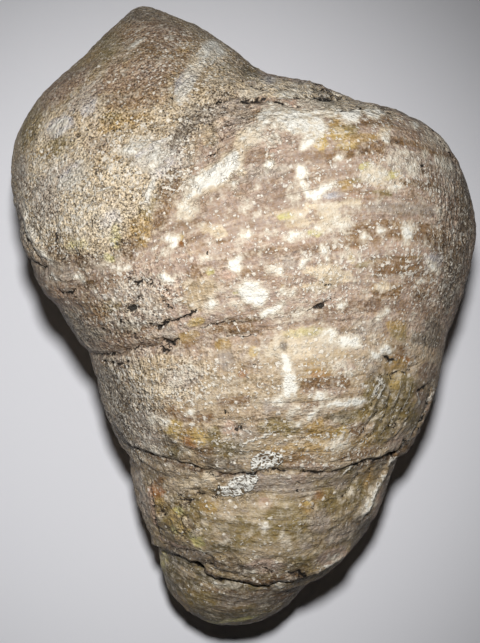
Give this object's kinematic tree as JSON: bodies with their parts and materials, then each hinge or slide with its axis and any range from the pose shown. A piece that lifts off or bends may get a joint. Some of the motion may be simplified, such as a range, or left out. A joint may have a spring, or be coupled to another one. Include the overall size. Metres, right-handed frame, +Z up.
{
  "type": "fossil horn coral",
  "caption": "Squat curved horn-shaped fossil coral lying on its side, with growth bands, pinched creases, a blunt tip and a lump of sandy matrix in its open end.",
  "frame": {"origin": "centre of the bounding box at its lowest level, which is the plane the fossil rests on", "axes": "+Y from the blunt tip towards the open end with the matrix lump, +X towards the outer side of its curve, +Z up from the surface it lies on"},
  "size_m": [0.0706, 0.0972, 0.053],
  "materials": {
    "fossil_stone": "weathered grey-brown limestone with white calcite spots"
  },
  "bodies": {
    "root": {"horn_coral": "fossil_stone"}
  },
  "joints": []
}
